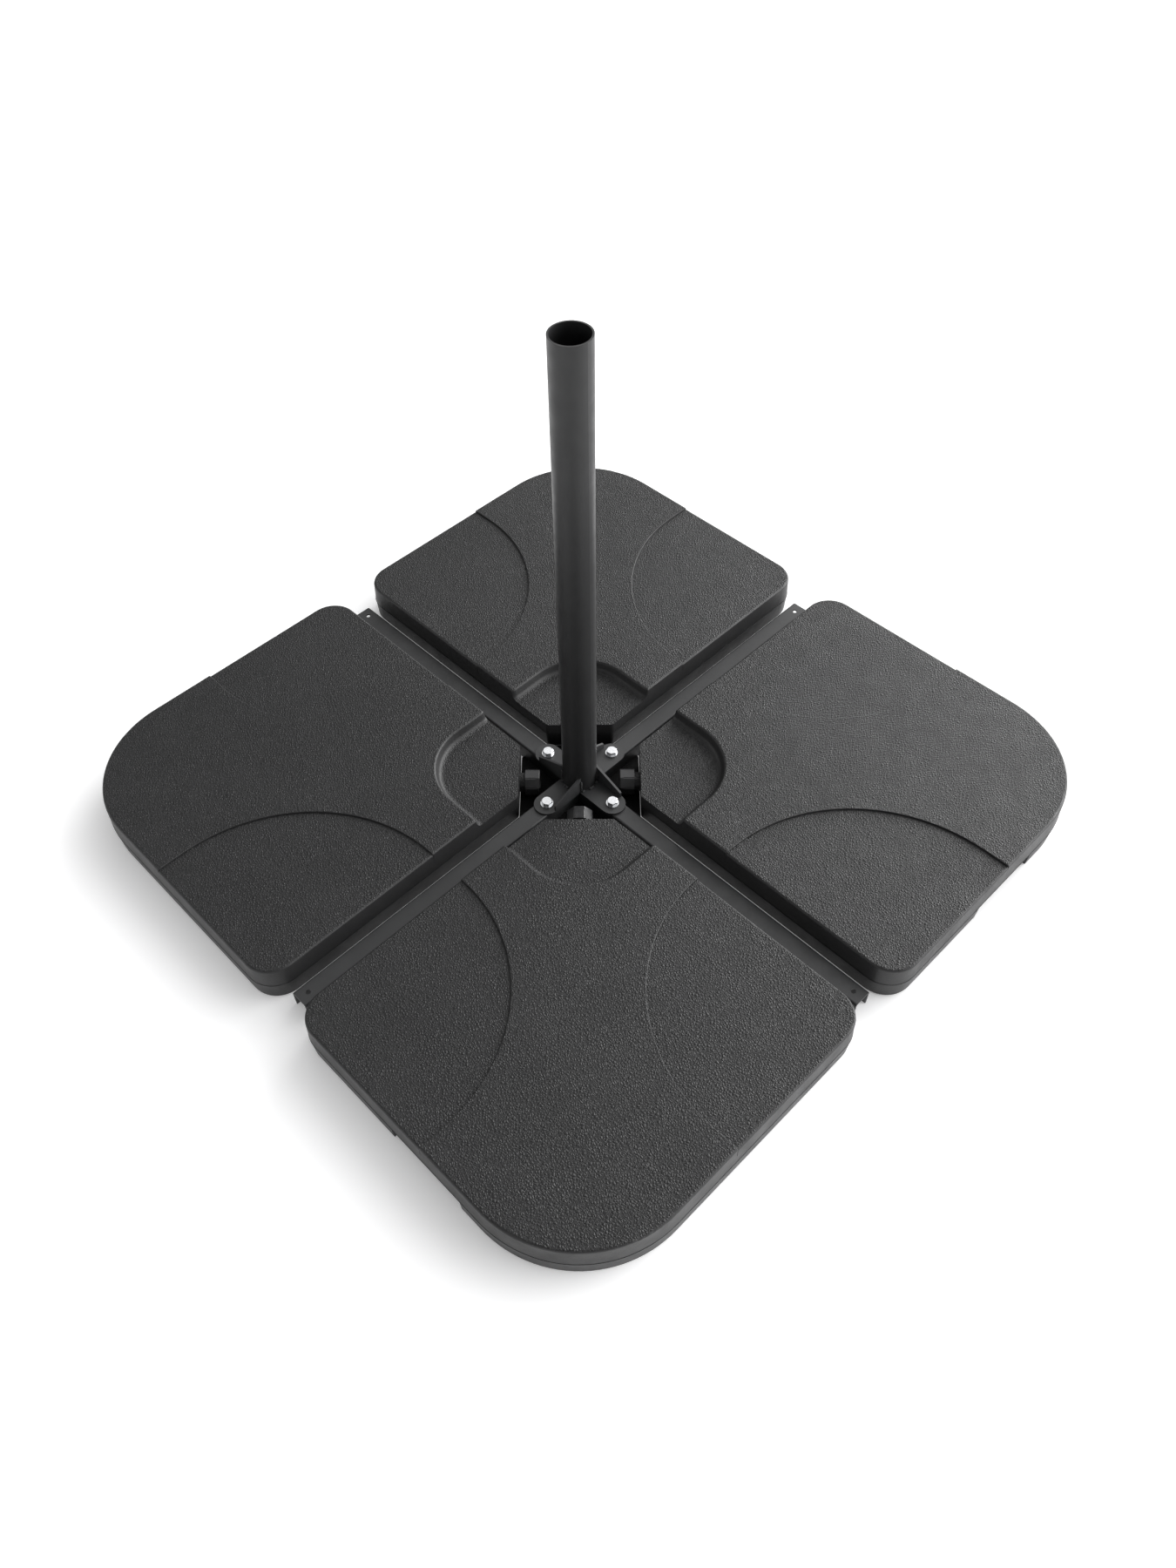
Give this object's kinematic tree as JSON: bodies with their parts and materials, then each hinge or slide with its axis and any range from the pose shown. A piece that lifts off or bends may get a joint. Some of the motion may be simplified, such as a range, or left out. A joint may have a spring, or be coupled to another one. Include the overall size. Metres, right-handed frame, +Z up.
{
  "type": "parasol base",
  "caption": "Square cross-foot parasol base: fillable plastic weights with screw caps and hand grips lie in the quarters of a steel cross that carries a bolted, gusseted mast foot.",
  "frame": {"origin": "centre of the cross on the ground, under the mast", "axes": "+Z up the mast, +X and +Y along two of the arms"},
  "size_m": [1, 1, 0.69],
  "materials": {
    "grey_powder_coat": "satin powder coat",
    "matt_black_primer": "matt black primer",
    "bright_zinc": "bright zinc plate",
    "weight_plastic": "fine grained blow-moulded polyethylene",
    "cap_plastic": "smooth moulded",
    "sand": "dry washed sand",
    "seal_rubber": "matte"
  },
  "bodies": {
    "frame": {"cross_bar_lower": "grey_powder_coat", "cross_bar_upper": "grey_powder_coat", "hub_plate": "matt_black_primer", "mast_tube": "grey_powder_coat", "foot_bracket_plus_x": "grey_powder_coat", "foot_bracket_plus_y": "grey_powder_coat", "foot_bracket_minus_x": "grey_powder_coat", "foot_bracket_minus_y": "grey_powder_coat", "foot_bolts": "bright_zinc", "foot_washers": "bright_zinc", "foot_nuts": "bright_zinc"},
    "weight_right": {"weight_shell_right": "weight_plastic", "sand_fill_right": "sand"},
    "seal_right": {"cap_seal_right": "seal_rubber"},
    "cap_right": {"filler_cap_right": "cap_plastic"},
    "weight_back": {"weight_shell_back": "weight_plastic", "sand_fill_back": "sand"},
    "seal_back": {"cap_seal_back": "seal_rubber"},
    "cap_back": {"filler_cap_back": "cap_plastic"},
    "weight_left": {"weight_shell_left": "weight_plastic", "sand_fill_left": "sand"},
    "seal_left": {"cap_seal_left": "seal_rubber"},
    "cap_left": {"filler_cap_left": "cap_plastic"},
    "weight_front": {"weight_shell_front": "weight_plastic", "sand_fill_front": "sand"},
    "seal_front": {"cap_seal_front": "seal_rubber"},
    "cap_front": {"filler_cap_front": "cap_plastic"}
  },
  "joints": [
    {"name": "weight_right_lift", "type": "slide", "parent": "frame", "child": "weight_right", "axis": [0, 0, 1], "range_m": [0, 0.12]},
    {"name": "cap_right_travel", "type": "slide", "parent": "weight_right", "child": "seal_right", "axis": [-0.7071, -0.7071, 0], "range_m": [0, 0.0081]},
    {"name": "cap_right_turn", "type": "hinge", "parent": "seal_right", "child": "cap_right", "pos_m": [0.03818, 0.03818, 0.0205], "axis": [-0.7071, -0.7071, 0], "range_deg": [0, 720]},
    {"name": "weight_back_lift", "type": "slide", "parent": "frame", "child": "weight_back", "axis": [0, 0, 1], "range_m": [0, 0.12]},
    {"name": "cap_back_travel", "type": "slide", "parent": "weight_back", "child": "seal_back", "axis": [0.7071, -0.7071, 0], "range_m": [0, 0.0081]},
    {"name": "cap_back_turn", "type": "hinge", "parent": "seal_back", "child": "cap_back", "pos_m": [-0.03818, 0.03818, 0.0205], "axis": [0.7071, -0.7071, 0], "range_deg": [0, 720]},
    {"name": "weight_left_lift", "type": "slide", "parent": "frame", "child": "weight_left", "axis": [0, 0, 1], "range_m": [0, 0.12]},
    {"name": "cap_left_travel", "type": "slide", "parent": "weight_left", "child": "seal_left", "axis": [0.7071, 0.7071, 0], "range_m": [0, 0.0081]},
    {"name": "cap_left_turn", "type": "hinge", "parent": "seal_left", "child": "cap_left", "pos_m": [-0.03818, -0.03818, 0.0205], "axis": [0.7071, 0.7071, 0], "range_deg": [0, 720]},
    {"name": "weight_front_lift", "type": "slide", "parent": "frame", "child": "weight_front", "axis": [0, 0, 1], "range_m": [0, 0.12]},
    {"name": "cap_front_travel", "type": "slide", "parent": "weight_front", "child": "seal_front", "axis": [-0.7071, 0.7071, 0], "range_m": [0, 0.0081]},
    {"name": "cap_front_turn", "type": "hinge", "parent": "seal_front", "child": "cap_front", "pos_m": [0.03818, -0.03818, 0.0205], "axis": [-0.7071, 0.7071, 0], "range_deg": [0, 720]}
  ],
  "couplings": [
    {"joint": "cap_right_travel", "follows": "cap_right_turn", "m_per_rad": 0.00063662},
    {"joint": "cap_back_travel", "follows": "cap_back_turn", "m_per_rad": 0.00063662},
    {"joint": "cap_left_travel", "follows": "cap_left_turn", "m_per_rad": 0.00063662},
    {"joint": "cap_front_travel", "follows": "cap_front_turn", "m_per_rad": 0.00063662}
  ]
}
